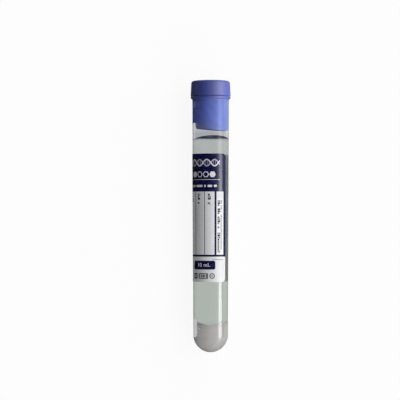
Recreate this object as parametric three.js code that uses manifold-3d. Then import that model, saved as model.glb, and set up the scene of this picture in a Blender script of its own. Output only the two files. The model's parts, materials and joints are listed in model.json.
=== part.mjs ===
// Blood collection tube: a clear round-bottomed tube closed by a rubber stopper, with a wrap-around
// label, a charge of anticoagulant liquid and a plug of separator gel.
// Millimetres, +Z up. The tube lies on its side with its stopper towards +Y, and rests on the
// stopper's rim and on the round end of the tube.

import * as THREE from 'three';
import { mergeVertices } from 'three/addons/utils/BufferGeometryUtils.js';
import Module from 'manifold-3d';

const wasm = await Module();
wasm.setup();

// Every turned piece has this many flats, in step with its neighbours, so that nested pieces keep an
// even gap. Diameters are measured across the flats.
const FLATS = 24;
const ARC_STEP = THREE.MathUtils.degToRad(9);

// Tube: moulded clear plastic, a slow cone that widens towards its mouth, with a round bottom.
const TUBE_LENGTH = 114;
const MOUTH_DIAMETER = 16.5;
const FOOT_DIAMETER = 15.55;
const TUBE_WALL = 1.15;
const BOTTOM_WALL = 1.3;
const RIM_CHAMFER = 0.3;

// Stopper: one moulding of butyl rubber, with a head that a thumb can lift and a plug in the bore.
const HEAD_OVERHANG = 0.825;
const HEAD_TOP_INSET = 0.325;
const HEAD_HEIGHT = 7.95;
const HEAD_CORNER_RADIUS = 1.1;
const HEAD_CHAMFER = 0.45;
const PLUG_LENGTH = 14.4;
const PLUG_STRAIGHT = 10.8;
const PLUG_TIP_INSET = 0.35;
const PLUG_TIP_CHAMFER = 0.6;
const DIMPLE_DIAMETER = 7.6;
const DIMPLE_DEPTH = 1.5;
const HOLLOW_DIAMETER = 8.4;
const HOLLOW_DEPTH = 7;

// Label: one strip of film round the tube, which leaves a bare window on the +X side. Angles are
// measured from the top of the lying tube (+Z) towards +X.
const LABEL_FOOT = 31.95;
const LABEL_HEIGHT = 57.5;
const LABEL_THICKNESS = 0.1;
const LABEL_WINDOW_START = 54;
const LABEL_WINDOW_ANGLE = 60;
const LABEL_CORNER_RADIUS = 1;

// Contents: the gel's level is above the outside of the round end, and the liquid's is under the plug.
const GEL_LEVEL = 13;
const HEADSPACE = 4.3;
const MENISCUS_RISE = 0.8;
const MENISCUS_WIDTH = 1.2;

// Clearances between neighbours.
const SEAT_GAP = 0.3;
const PLUG_CLEARANCE = 0.12;
const LABEL_GAP = 0.04;
const CONTENTS_GAP = 0.08;
const LAYER_GAP = 0.3;

const footRadius = FOOT_DIAMETER / 2;
const boreFootRadius = footRadius - TUBE_WALL;
const boreFootHeight = BOTTOM_WALL + boreFootRadius;
const headRadius = MOUTH_DIAMETER / 2 + HEAD_OVERHANG;
const seatHeight = TUBE_LENGTH + SEAT_GAP;
const plugTipHeight = seatHeight - PLUG_LENGTH;

function outerRadius(height) {
  const share = (height - footRadius) / (TUBE_LENGTH - footRadius);
  return THREE.MathUtils.lerp(footRadius, MOUTH_DIAMETER / 2, share);
}

function boreRadius(height) {
  return outerRadius(height) - TUBE_WALL;
}

// The widest plug that can be drawn out of the bore from this height.
function plugRadius(height) {
  return Math.min(boreRadius(height), boreRadius(TUBE_LENGTH)) - PLUG_CLEARANCE;
}

function point(radius, height) {
  return new THREE.Vector2(radius, height);
}

// Points of an arc in the profile plane, both ends included. Angle 0 points away from the axis.
function arc(centre, radius, fromDegrees, toDegrees) {
  const from = THREE.MathUtils.degToRad(fromDegrees);
  const to = THREE.MathUtils.degToRad(toDegrees);
  const steps = Math.max(2, Math.ceil(Math.abs(to - from) / ARC_STEP));
  return Array.from({ length: steps + 1 }, (_, i) => {
    const angle = THREE.MathUtils.lerp(from, to, i / steps);
    return point(centre.x + radius * Math.cos(angle), centre.y + radius * Math.sin(angle));
  });
}

// A solid of revolution about Y, from a profile that runs anticlockwise from the axis to the axis.
function turned(profile) {
  const acrossCorners = 1 / Math.cos(Math.PI / FLATS);
  const onAxis = 1e-6;
  const points = profile.map(({ x, y }) => point(x < onAxis ? 0 : x * acrossCorners, y));
  return new THREE.LatheGeometry(points, FLATS, Math.PI / FLATS);
}

function toSolid(geometry) {
  const bare = geometry.clone();
  bare.deleteAttribute('normal');
  bare.deleteAttribute('uv');
  const sameSpot = 1e-5;
  const merged = mergeVertices(bare, sameSpot);
  const corners = Array.from(merged.index.array);
  const triangles = [];
  for (let i = 0; i < corners.length; i += 3) {
    const [a, b, c] = corners.slice(i, i + 3);
    if (a !== b && b !== c && c !== a) triangles.push(a, b, c);
  }
  return new wasm.Manifold(new wasm.Mesh({
    numProp: 3,
    vertProperties: new Float32Array(merged.attributes.position.array),
    triVerts: new Uint32Array(triangles),
  }));
}

function toGeometry(solid) {
  const mesh = solid.getMesh();
  const geometry = new THREE.BufferGeometry();
  geometry.setAttribute('position', new THREE.BufferAttribute(mesh.vertProperties, 3));
  geometry.setIndex(new THREE.BufferAttribute(mesh.triVerts, 1));
  geometry.computeVertexNormals();
  return geometry;
}

function piece(name, geometry, look) {
  const mesh = new THREE.Mesh(geometry, new THREE.MeshStandardMaterial(look));
  mesh.name = name;
  return mesh;
}

// The round bottom outside, the tapered wall, the chamfered rim, then back down the bore.
function tubeProfile() {
  const chamfer = Math.min(RIM_CHAMFER, TUBE_WALL / 3);
  const mouth = outerRadius(TUBE_LENGTH);
  const bore = boreRadius(TUBE_LENGTH);
  return [
    ...arc(point(0, footRadius), footRadius, -90, 0),
    point(outerRadius(TUBE_LENGTH - chamfer), TUBE_LENGTH - chamfer),
    point(mouth - chamfer, TUBE_LENGTH),
    point(bore + chamfer, TUBE_LENGTH),
    point(boreRadius(TUBE_LENGTH - chamfer), TUBE_LENGTH - chamfer),
    ...arc(point(0, boreFootHeight), boreFootRadius, 0, -90),
  ];
}

// The hollow under the plug, the plug and its tapered tip, the head, then the dimple on top.
function stopperProfile() {
  const top = seatHeight + HEAD_HEIGHT;
  const straightEnd = seatHeight - PLUG_STRAIGHT;
  const straight = plugRadius(straightEnd);
  const tipRadius = plugRadius(plugTipHeight) - PLUG_TIP_INSET;
  const corner = point(headRadius - HEAD_TOP_INSET - HEAD_CORNER_RADIUS, top - HEAD_CORNER_RADIUS);
  return [
    point(0, plugTipHeight + HOLLOW_DEPTH),
    point(HOLLOW_DIAMETER / 2, plugTipHeight + HOLLOW_DEPTH),
    point(HOLLOW_DIAMETER / 2, plugTipHeight),
    point(tipRadius - PLUG_TIP_CHAMFER, plugTipHeight),
    point(tipRadius, plugTipHeight + PLUG_TIP_CHAMFER),
    point(straight, straightEnd),
    point(straight, seatHeight),
    point(headRadius - HEAD_CHAMFER, seatHeight),
    point(headRadius, seatHeight + HEAD_CHAMFER),
    ...arc(corner, HEAD_CORNER_RADIUS, 0, 90),
    point(DIMPLE_DIAMETER / 2, top),
    point(DIMPLE_DIAMETER / 2, top - DIMPLE_DEPTH),
    point(0, top - DIMPLE_DEPTH),
  ];
}

// The gel fills the round bottom; its top is level.
function gelProfile() {
  return [
    ...arc(point(0, boreFootHeight), boreFootRadius - CONTENTS_GAP, -90, 0),
    point(boreRadius(GEL_LEVEL) - CONTENTS_GAP, GEL_LEVEL),
    point(0, GEL_LEVEL),
  ];
}

// The liquid stands on the gel, and climbs a little at the wall.
function liquidProfile() {
  const foot = GEL_LEVEL + LAYER_GAP;
  const level = plugTipHeight - HEADSPACE;
  const crest = level + MENISCUS_RISE;
  const crestRadius = boreRadius(crest) - CONTENTS_GAP;
  return [
    point(0, foot),
    point(boreRadius(foot) - CONTENTS_GAP, foot),
    point(crestRadius, crest),
    point(crestRadius - MENISCUS_WIDTH / 4, level + MENISCUS_RISE / 3),
    point(crestRadius - MENISCUS_WIDTH, level),
    point(0, level),
  ];
}

// A ring of film on the tube, closed into a sleeve.
function sleeveProfile() {
  const top = LABEL_FOOT + LABEL_HEIGHT;
  const inside = (height) => outerRadius(height) + LABEL_GAP;
  return [
    point(inside(LABEL_FOOT), LABEL_FOOT),
    point(inside(LABEL_FOOT) + LABEL_THICKNESS, LABEL_FOOT),
    point(inside(top) + LABEL_THICKNESS, top),
    point(inside(top), top),
    point(inside(LABEL_FOOT), LABEL_FOOT),
  ];
}

// The window's wedge, drawn in the plane across the tube with its point on the axis.
function windowCutter() {
  const reach = MOUTH_DIAMETER;
  const widestStep = 30;
  const steps = Math.ceil(LABEL_WINDOW_ANGLE / widestStep);
  const wedge = new THREE.Shape([point(0, 0)]);
  for (let i = 0; i <= steps; i += 1) {
    const degrees = LABEL_WINDOW_START + (LABEL_WINDOW_ANGLE * i) / steps;
    const angle = THREE.MathUtils.degToRad(degrees);
    wedge.lineTo(reach * Math.sin(angle), -reach * Math.cos(angle));
  }
  wedge.closePath();
  const beyond = 1;
  const cutter = new THREE.ExtrudeGeometry(wedge, {
    depth: LABEL_HEIGHT + 2 * beyond,
    bevelEnabled: false,
  });
  cutter.rotateX(-Math.PI / 2);
  cutter.translate(0, LABEL_FOOT - beyond, 0);
  return toSolid(cutter);
}

// What a rounded corner takes off the film: a square less a quarter disc, pushed through the film
// from outside. The quarter disc's centre is towards -X and -Y; it is turned to each corner.
function cornerCutter(edgeDegrees, alongEdge, height, alongAxis) {
  const radius = LABEL_CORNER_RADIUS;
  const margin = 0.05;
  const outline = new THREE.Shape([point(margin, margin), point(-radius, margin), point(-radius, 0)]);
  outline.absarc(-radius, -radius, radius, Math.PI / 2, 0, true);
  outline.lineTo(margin, -radius);
  outline.closePath();
  const filmDepth = 2;
  const cutter = new THREE.ExtrudeGeometry(outline, {
    depth: filmDepth,
    bevelEnabled: false,
    curveSegments: 6,
  });
  cutter.translate(0, 0, -filmDepth / 2);
  const place = new THREE.Matrix4()
    .makeRotationY(THREE.MathUtils.degToRad(edgeDegrees))
    .multiply(new THREE.Matrix4().makeTranslation(0, height, outerRadius(height)))
    .multiply(new THREE.Matrix4().makeScale(alongEdge, alongAxis, 1));
  return toSolid(cutter).transform(place.toArray());
}

function labelGeometry() {
  const top = LABEL_FOOT + LABEL_HEIGHT;
  const windowEnd = LABEL_WINDOW_START + LABEL_WINDOW_ANGLE;
  const cutters = [
    windowCutter(),
    cornerCutter(LABEL_WINDOW_START, 1, top, 1),
    cornerCutter(LABEL_WINDOW_START, 1, LABEL_FOOT, -1),
    cornerCutter(windowEnd, -1, top, 1),
    cornerCutter(windowEnd, -1, LABEL_FOOT, -1),
  ];
  const sleeve = toSolid(turned(sleeveProfile()));
  return toGeometry(cutters.reduce((film, cutter) => film.subtract(cutter), sleeve));
}

// The tilt at which the stopper's rim and the tube's round end both touch the ground.
function restingTilt() {
  const rimHeight = seatHeight + HEAD_CHAMFER;
  const slopes = arc(point(0, footRadius), footRadius, -90, 0).map(
    ({ x, y }) => (headRadius - x) / (rimHeight - y),
  );
  return Math.atan(Math.min(...slopes));
}

const lyingTube = new THREE.Group();
lyingTube.add(
  piece('tube', turned(tubeProfile()), {
    color: 0xdfe6e4, roughness: 0.08, metalness: 0, transparent: true, opacity: 0.35,
  }),
  piece('stopper', turned(stopperProfile()), { color: 0x6b7fd0, roughness: 0.6, metalness: 0 }),
  piece('label', labelGeometry(), { color: 0xf2f3f5, roughness: 0.4, metalness: 0 }),
  piece('anticoagulant', turned(liquidProfile()), {
    color: 0xc9d4c8, roughness: 0.05, metalness: 0, transparent: true, opacity: 0.4,
  }),
  piece('separator_gel', turned(gelProfile()), { color: 0xa8a29a, roughness: 0.4, metalness: 0 }),
);
lyingTube.rotation.x = restingTilt();

const extent = new THREE.Box3().setFromObject(lyingTube, true);
const middle = extent.getCenter(new THREE.Vector3());
lyingTube.position.set(-middle.x, -middle.y, -extent.min.z);

const bloodCollectionTube = new THREE.Group();
bloodCollectionTube.add(lyingTube);

export default bloodCollectionTube;
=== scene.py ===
import json
import math

import bpy
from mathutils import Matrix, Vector


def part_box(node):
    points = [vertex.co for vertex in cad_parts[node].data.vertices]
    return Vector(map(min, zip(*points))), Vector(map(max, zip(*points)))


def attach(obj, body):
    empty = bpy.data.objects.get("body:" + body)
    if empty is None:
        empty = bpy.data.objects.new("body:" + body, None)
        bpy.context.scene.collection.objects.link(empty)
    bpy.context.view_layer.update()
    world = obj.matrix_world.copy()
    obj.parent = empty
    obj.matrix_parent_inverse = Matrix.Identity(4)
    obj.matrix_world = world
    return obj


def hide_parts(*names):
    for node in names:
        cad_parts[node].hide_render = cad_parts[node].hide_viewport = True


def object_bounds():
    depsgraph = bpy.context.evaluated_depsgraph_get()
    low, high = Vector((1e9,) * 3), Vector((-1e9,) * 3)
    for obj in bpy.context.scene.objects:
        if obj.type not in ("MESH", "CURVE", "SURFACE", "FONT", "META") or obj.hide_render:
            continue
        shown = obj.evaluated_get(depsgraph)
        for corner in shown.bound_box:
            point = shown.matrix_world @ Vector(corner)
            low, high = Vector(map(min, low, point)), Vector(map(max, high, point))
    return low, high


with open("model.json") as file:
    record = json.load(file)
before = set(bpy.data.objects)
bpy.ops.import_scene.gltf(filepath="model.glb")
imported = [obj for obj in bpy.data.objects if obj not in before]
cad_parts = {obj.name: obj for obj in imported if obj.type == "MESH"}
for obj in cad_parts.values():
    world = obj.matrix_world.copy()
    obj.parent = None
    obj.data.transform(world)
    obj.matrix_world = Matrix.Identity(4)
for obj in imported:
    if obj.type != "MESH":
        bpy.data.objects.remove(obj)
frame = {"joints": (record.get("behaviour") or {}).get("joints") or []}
cad_low, cad_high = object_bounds()

# Lengths are in metres. The tube lies along Y, foot first, with X to its right and Z to its front.


# ------------------------------------------------------------------------------------ the tube
# A round-bottomed tube, injection moulded in one piece from clear plastic. It widens from the foot in
# a slow cone, the mouth has a softened rim, and moulding leaves faint flow lines along it.

TUBE_LENGTH = 0.114
FOOT_RADIUS = 0.007775
MOUTH_RADIUS = 0.00825
TUBE_WALL = 0.00115
BOTTOM_WALL = 0.0013
RIM_ROUND = 0.0003
TUBE_RINGS = (0.03, 0.06, 0.09)
BOTTOM_STEPS = 32
RIM_STEPS = 6
FACETS = 180
CREASE_ANGLE = math.radians(32)
WELD_DISTANCE = 1e-6
PLASTIC_TONE = (0.915, 0.922, 0.93, 1)
# Over the headspace, from the liquid up to the plug, the plastic is painted a darker tone: painted shade.
HEADSPACE_SHADE_FROM = 0.0958
HEADSPACE_SHADE_TO = 0.0995
HEADSPACE_SHADE_FROM_FADE = 0.0004
HEADSPACE_SHADE_TO_FADE = 0.0008
HEADSPACE_SHADE_TONE = (0.77, 0.79, 0.82, 1)

pull_axis = Vector(frame["joints"][0]["axis"])
lean = math.atan2(pull_axis.z, pull_axis.y)
tube_low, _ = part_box("tube")
foot_place = Vector((0, tube_low.y, tube_low.z + FOOT_RADIUS * (1 - math.sin(lean))))


def put(tree, kind, inputs=None, **settings):
    """Adds a node to a tree. settings are its own fields; inputs maps a socket to a value or a wire."""
    node = tree.nodes.new(kind)
    for field, value in settings.items():
        setattr(node, field, value)
    for place, value in (inputs or {}).items():
        if isinstance(value, bpy.types.NodeSocket):
            tree.links.new(value, node.inputs[place])
        else:
            node.inputs[place].default_value = value
    return node


def calc(tree, operation, *values):
    """The result of one maths node on numbers or wires."""
    return put(tree, "ShaderNodeMath", dict(enumerate(values)), operation=operation).outputs[0]


def new_tree(name, kind, inputs, outputs):
    """A node group with named sockets. Gives it back with its input and output nodes."""
    tree = bpy.data.node_groups.new(name, kind)
    for direction, sockets in (("INPUT", inputs), ("OUTPUT", outputs)):
        for socket, form in sockets:
            tree.interface.new_socket(socket, in_out=direction, socket_type="NodeSocket" + form)
    return tree, put(tree, "NodeGroupInput"), put(tree, "NodeGroupOutput")


def smoothed(tree, shape, crease):
    """Shades a shape smooth, but for the edges that bend by more than the crease angle."""
    soft = put(tree, "GeometryNodeSetShadeSmooth", {"Geometry": shape}, domain="FACE")
    bend = put(tree, "GeometryNodeInputMeshEdgeAngle").outputs["Unsigned Angle"]
    sharp = calc(tree, "GREATER_THAN", bend, crease)
    inputs = {"Geometry": soft.outputs[0], "Selection": sharp, "Shade Smooth": False}
    return put(tree, "GeometryNodeSetShadeSmooth", inputs, domain="EDGE").outputs[0]


def laid_down(tree, shape, given):
    """Leans a shape with the tube's axis, moves it to the tube's foot and gives it its material."""
    tilt = put(tree, "ShaderNodeCombineXYZ", {"X": given.outputs["Lean"]}).outputs[0]
    inputs = {"Geometry": shape, "Rotation": tilt, "Translation": given.outputs["Foot"]}
    laid = put(tree, "GeometryNodeTransform", inputs).outputs[0]
    real = put(tree, "GeometryNodeRealizeInstances", {"Geometry": laid}).outputs[0]
    inputs = {"Geometry": real, "Material": given.outputs["Material"]}
    return put(tree, "GeometryNodeSetMaterial", inputs).outputs[0]


def turned_piece_tree():
    """Spins a profile, radius along X and height along Y, about the tube's axis."""
    inputs = [("Profile", "Geometry"), ("Facets", "Int"), ("Crease", "Float")]
    inputs += [("Lean", "Float"), ("Foot", "Vector"), ("Material", "Material")]
    tree, given, result = new_tree("turned_piece", "GeometryNodeTree", inputs, [("Piece", "Geometry")])
    profile = given.outputs["Profile"]
    facets = given.outputs["Facets"]
    rows = put(tree, "GeometryNodeAttributeDomainSize", {"Geometry": profile}).outputs["Point Count"]
    columns = calc(tree, "ADD", facets, 1)
    grid = put(tree, "GeometryNodeMeshGrid", {"Vertices X": columns, "Vertices Y": rows}).outputs["Mesh"]
    index = put(tree, "GeometryNodeInputIndex").outputs[0]
    row = calc(tree, "FLOORED_MODULO", index, rows)
    column = calc(tree, "FLOOR", calc(tree, "DIVIDE", calc(tree, "ADD", index, 0.5), rows))
    place = put(tree, "GeometryNodeInputPosition").outputs[0]
    picked = put(tree, "GeometryNodeSampleIndex", {"Geometry": profile, "Index": row},
                 data_type="FLOAT_VECTOR")
    tree.links.new(place, picked.inputs["Value"])
    point = put(tree, "ShaderNodeSeparateXYZ", {0: picked.outputs[0]})
    angle = calc(tree, "MULTIPLY", calc(tree, "DIVIDE", column, facets), 2 * math.pi)
    across = calc(tree, "MULTIPLY", point.outputs["X"], calc(tree, "SINE", angle))
    up = calc(tree, "MULTIPLY", point.outputs["X"], calc(tree, "COSINE", angle))
    spot = put(tree, "ShaderNodeCombineXYZ", {"X": across, "Y": point.outputs["Y"], "Z": up}).outputs[0]
    spun = put(tree, "GeometryNodeSetPosition", {"Geometry": grid, "Position": spot}).outputs[0]
    inputs = {"Geometry": spun, "Distance": WELD_DISTANCE}
    closed = put(tree, "GeometryNodeMergeByDistance", inputs).outputs[0]
    smooth = smoothed(tree, closed, given.outputs["Crease"])
    tree.links.new(laid_down(tree, smooth, given), result.inputs[0])
    return tree


def shaped(name, flat_mesh, tree, values):
    """Runs a tree on a mesh and keeps the outcome as a plain mesh on an object of that name."""
    piece = bpy.data.objects.new(name, flat_mesh)
    bpy.context.scene.collection.objects.link(piece)
    modifier = piece.modifiers.new("shape", "NODES")
    modifier.node_group = tree
    for socket in tree.interface.items_tree:
        if socket.in_out == "INPUT" and socket.name in values:
            modifier[socket.identifier] = values[socket.name]
    depsgraph = bpy.context.evaluated_depsgraph_get()
    outcome = bpy.data.meshes.new_from_object(
        piece.evaluated_get(depsgraph), preserve_all_data_layers=True, depsgraph=depsgraph)
    piece.modifiers.clear()
    piece.data = outcome
    outcome.name = name
    return piece


turned_piece = turned_piece_tree()


def turn(name, profile, material):
    """A piece turned about the tube's axis. Its profile runs anticlockwise, from the axis to the axis."""
    chain = bpy.data.meshes.new(name + "_profile")
    steps = [(i, i + 1) for i in range(len(profile) - 1)]
    chain.from_pydata([(radius, height, 0) for radius, height in profile], steps, [])
    values = {"Facets": FACETS, "Crease": CREASE_ANGLE, "Lean": lean}
    values |= {"Foot": foot_place, "Material": material}
    return shaped(name, chain, turned_piece, values)


def arc(radius, height, size, start, end, steps):
    """Points of an arc round (radius, height), in degrees, where 0 points away from the axis."""
    angles = [math.radians(start + (end - start) * i / steps) for i in range(steps + 1)]
    return [(max(0, radius + size * math.cos(a)), height + size * math.sin(a)) for a in angles]


def outside(height):
    """The tube's outer radius at a height above its foot."""
    share = (height - FOOT_RADIUS) / (TUBE_LENGTH - FOOT_RADIUS)
    return FOOT_RADIUS + (MOUTH_RADIUS - FOOT_RADIUS) * share


def bore(height):
    """The tube's inner radius at a height above its foot."""
    return outside(height) - TUBE_WALL


def new_finish(name):
    """A material with one Principled shader. Gives back the material, its tree and that shader."""
    material = bpy.data.materials.new(name)
    material.use_nodes = True
    tree = material.node_tree
    return material, tree, tree.nodes["Principled BSDF"]


def set_plain(shader, values):
    """Sets the shader's own sockets that are the same all over a piece."""
    for socket, value in values.items():
        shader.inputs[socket].default_value = value


def coordinate(tree, axis):
    """One of a piece's own coordinates, in metres."""
    place = put(tree, "ShaderNodeTexCoord").outputs["Object"]
    return put(tree, "ShaderNodeSeparateXYZ", {0: place}).outputs[axis]


def ramp(tree, value, start, end, low=0.0, high=1.0, **settings):
    """Spreads a value's range from start to end over the range from low to high."""
    inputs = {0: value, 1: start, 2: end, 3: low, 4: high}
    return put(tree, "ShaderNodeMapRange", inputs, **settings).outputs[0]


def unevenness_group():
    """Noise on a piece's own coordinates, spread over a range of values: grain, cloud, streaks, wear."""
    inputs = [("Stretch", "Vector"), ("Detail", "Float"), ("Lowest", "Float"), ("Highest", "Float")]
    tree, given, result = new_tree("unevenness", "ShaderNodeTree", inputs, [("Value", "Float")])
    place = put(tree, "ShaderNodeTexCoord").outputs["Object"]
    inputs = {0: place, 1: given.outputs["Stretch"]}
    spread = put(tree, "ShaderNodeVectorMath", inputs, operation="MULTIPLY").outputs[0]
    inputs = {"Vector": spread, "Scale": 1.0, "Detail": given.outputs["Detail"]}
    noise = put(tree, "ShaderNodeTexNoise", inputs).outputs[0]
    often_low, often_high = 0.3, 0.7
    value = ramp(tree, noise, often_low, often_high, given.outputs["Lowest"], given.outputs["Highest"])
    tree.links.new(value, result.inputs[0])
    return tree


def feed(tree, group_tree, inputs):
    """Places a node group with its values and wires, and returns its first output."""
    return put(tree, "ShaderNodeGroup", inputs, node_tree=group_tree).outputs[0]


unevenness = unevenness_group()


def uneven(tree, stretch, lowest=0.0, highest=1.0, detail=2.0):
    """A value that wanders between two ends over a piece. stretch is its pace along X, Y and Z."""
    inputs = {"Stretch": stretch, "Detail": detail, "Lowest": lowest, "Highest": highest}
    return feed(tree, unevenness, inputs)


def blended(tree, share, first, second):
    """A colour between two colours."""
    return put(tree, "ShaderNodeMix", {0: share, 6: first, 7: second}, data_type="RGBA").outputs[2]


def roughen(tree, shader, heights, strength, distance):
    """Feeds a height field to the shader's normal."""
    inputs = {"Height": heights, "Strength": strength, "Distance": distance}
    tree.links.new(put(tree, "ShaderNodeBump", inputs).outputs[0], shader.inputs["Normal"])


def clear_plastic_finish():
    """Clear plastic: moulding lines along the tube and handling scratches; over the headspace its tone is
    painted darker: painted shade.
    """
    material, tree, shader = new_finish("clear_plastic")
    along = coordinate(tree, "Y")
    # Painted shade: a darker tone over the headspace band.
    start, end = foot_place.y + HEADSPACE_SHADE_FROM, foot_place.y + HEADSPACE_SHADE_TO
    headspace_shade = ramp(tree, along, start - HEADSPACE_SHADE_FROM_FADE, start + HEADSPACE_SHADE_FROM_FADE)
    ending = ramp(tree, along, end - HEADSPACE_SHADE_TO_FADE, end + HEADSPACE_SHADE_TO_FADE)
    headspace_shade = calc(tree, "MULTIPLY", headspace_shade, calc(tree, "SUBTRACT", 1.0, ending))
    tree.links.new(blended(tree, headspace_shade, PLASTIC_TONE, HEADSPACE_SHADE_TONE), shader.inputs["Base Color"])
    scratches = uneven(tree, stretch=(300, 4000, 300), lowest=0.012, highest=0.055)
    tree.links.new(scratches, shader.inputs["Roughness"])
    flow_lines = uneven(tree, stretch=(900, 12, 900))
    roughen(tree, shader, flow_lines, strength=0.05, distance=0.00002)
    set_plain(shader, {"Transmission Weight": 1, "IOR": 1.49})
    return material


inner_foot = FOOT_RADIUS - TUBE_WALL
inner_floor = BOTTOM_WALL + inner_foot
rim_inside = bore(TUBE_LENGTH)
rim_start = TUBE_LENGTH - RIM_ROUND
tube_profile = arc(0, FOOT_RADIUS, FOOT_RADIUS, -90, 0, BOTTOM_STEPS)
tube_profile += [(outside(h), h) for h in TUBE_RINGS]
tube_profile += arc(outside(TUBE_LENGTH) - RIM_ROUND, rim_start, RIM_ROUND, 0, 90, RIM_STEPS)
tube_profile += arc(rim_inside + RIM_ROUND, rim_start, RIM_ROUND, 90, 180, RIM_STEPS)
tube_profile += [(bore(h), h) for h in reversed(TUBE_RINGS)]
tube_profile += arc(0, inner_floor, inner_foot, 0, -90, BOTTOM_STEPS)

tube = turn("clear_tube", tube_profile, clear_plastic_finish())
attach(tube, "tube")
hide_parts("tube")


# --------------------------------------------------------------------------- the separator gel
# A charge of cloudy thixotropic gel, poured into the round bottom. It wets the wall, its top sinks in
# the middle and is drawn up the wall at both sides, and a pocket of air was trapped on its left.

GEL_LEVEL = 0.013
GEL_RINGS = 14
GEL_TONES = ((0.93, 0.885, 0.84, 1), (1.0, 0.975, 0.945, 1))
WETTING = 0.00004
TOP_SINK = 0.00115
TOP_SLANT = 0.0005
TOP_CLIMB = 0.0024
CLIMB_END = 0.8
CLIMB_REACH = 0.0045
POCKET_LOW = 0.0068
POCKET_HIGH = 0.0152
POCKET_DEPTH = 0.0005
POCKET_EDGE = 0.73
POCKET_WAVES = ((0.09, 7, 0.6), (0.07, 23, 0), (0.04, 61, 0))
POCKET_SIDE = 0.12
POCKET_LOW_SLOPE = 6
POCKET_HIGH_SLOPE = 4


def gel_finish():
    """Cloudy polymer gel: a soft grey body that lets a little light through, with fine level streaks."""
    material, tree, shader = new_finish("separator_gel")
    streaks = uneven(tree, stretch=(150, 900, 150), detail=3.0)
    tree.links.new(blended(tree, streaks, *GEL_TONES), shader.inputs["Base Color"])
    set_plain(shader, {"Roughness": 0.35, "Transmission Weight": 0.57, "IOR": 1.38})
    return material


def on_tube(point):
    """A mesh point's height above the foot along the tube, and how far it is in front of the axis."""
    height = (point.co - foot_place).dot(pull_axis)
    return height, point.co.z - foot_place.z - height * math.sin(lean)


def settle(piece):
    """Shapes the border of the gel: low in the middle, and drawn up the wall on both sides."""
    for point in piece.data.vertices:
        height, front = on_tube(point)
        nearness = max(0, 1 - abs(height - GEL_LEVEL) / CLIMB_REACH)
        across = min(CLIMB_END, abs(point.co.x) / inner_foot)
        rise = TOP_CLIMB * across ** 2 + TOP_SLANT * (front / inner_foot) - TOP_SINK
        point.co += pull_axis * rise * nearness


def leave_pocket(piece):
    """Draws a fill back from the wall where an air pocket was trapped on its left."""
    for point in piece.data.vertices:
        height, _ = on_tube(point)
        share = (height - POCKET_LOW) / (POCKET_HIGH - POCKET_LOW)
        across = -point.co.x / inner_foot
        edge = POCKET_EDGE
        for swing, pace, start in POCKET_WAVES:
            edge += swing * math.sin(pace * share + start)
        if 0 < share < 1 and across > edge:
            ends = min(1, share * POCKET_LOW_SLOPE, (1 - share) * POCKET_HIGH_SLOPE)
            swell = min(1, (across - edge) / POCKET_SIDE) * ends
            point.co.x += POCKET_DEPTH * swell


gel_profile = arc(0, inner_floor, inner_foot + WETTING, -90, 0, BOTTOM_STEPS)
gel_span = GEL_LEVEL - inner_floor
for i in range(GEL_RINGS):
    height = inner_floor + gel_span * (i + 1) / GEL_RINGS
    gel_profile.append((bore(height) + WETTING, height))
gel_profile.append((0, GEL_LEVEL))
gel = turn("separator_gel_fill", gel_profile, gel_finish())
settle(gel)
leave_pocket(gel)
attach(gel, "tube")
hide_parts("separator_gel")


# -------------------------------------------------------------------------- the anticoagulant
# A pale liquid that stands on the gel and fills the tube to just under the stopper's plug. It wets
# the wall and climbs it in a small meniscus, most of all at the front.

PLUG_TIP = 0.0999
HEADSPACE = 0.0041
LAYER_OVERLAP = 0.00002
LIQUID_RINGS = (0.0134, 0.0138, 0.0142, 0.0146, 0.0150, 0.0154, 0.03, 0.06, 0.09, 0.0945, 0.0953)
LOWER_TONES = ((0.795, 0.857, 0.767, 1), (0.815, 0.867, 0.783, 1))
UPPER_TONES = ((0.775, 0.815, 0.785, 1), (0.795, 0.825, 0.80, 1))
UPPER_FROM = 0.02
MENISCUS_RISE = 0.0017
MENISCUS_WIDTH = 0.0032
MENISCUS_STEPS = 14
MENISCUS_TURN = math.radians(12)
MENISCUS_LEAST = 0.2
MENISCUS_BEHIND = 0.4
MENISCUS_PAINTED_REFLECTION = (0.42, 0.45, 0.88, 1)
MENISCUS_FADE = 0.0003


def liquid_finish():
    """A faintly green, slightly cloudy water solution. Its meniscus is tinted with a painted reflection of
    the stopper's blue.
    """
    material, tree, shader = new_finish("anticoagulant_liquid")
    cloud = uneven(tree, stretch=(120, 40, 120))
    lower = blended(tree, cloud, *LOWER_TONES)
    upper = blended(tree, cloud, *UPPER_TONES)
    body = blended(tree, ramp(tree, coordinate(tree, "Y"), 0.0, UPPER_FROM), lower, upper)
    # Painted reflection: where the liquid climbs the wall it takes the stopper's blue.
    rim = put(tree, "ShaderNodeAttribute", attribute_name="climbing").outputs["Fac"]
    tree.links.new(blended(tree, rim, body, MENISCUS_PAINTED_REFLECTION), shader.inputs["Base Color"])
    set_plain(shader, {"Transmission Weight": 1, "IOR": 1.34, "Roughness": 0.0})
    return material


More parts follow.
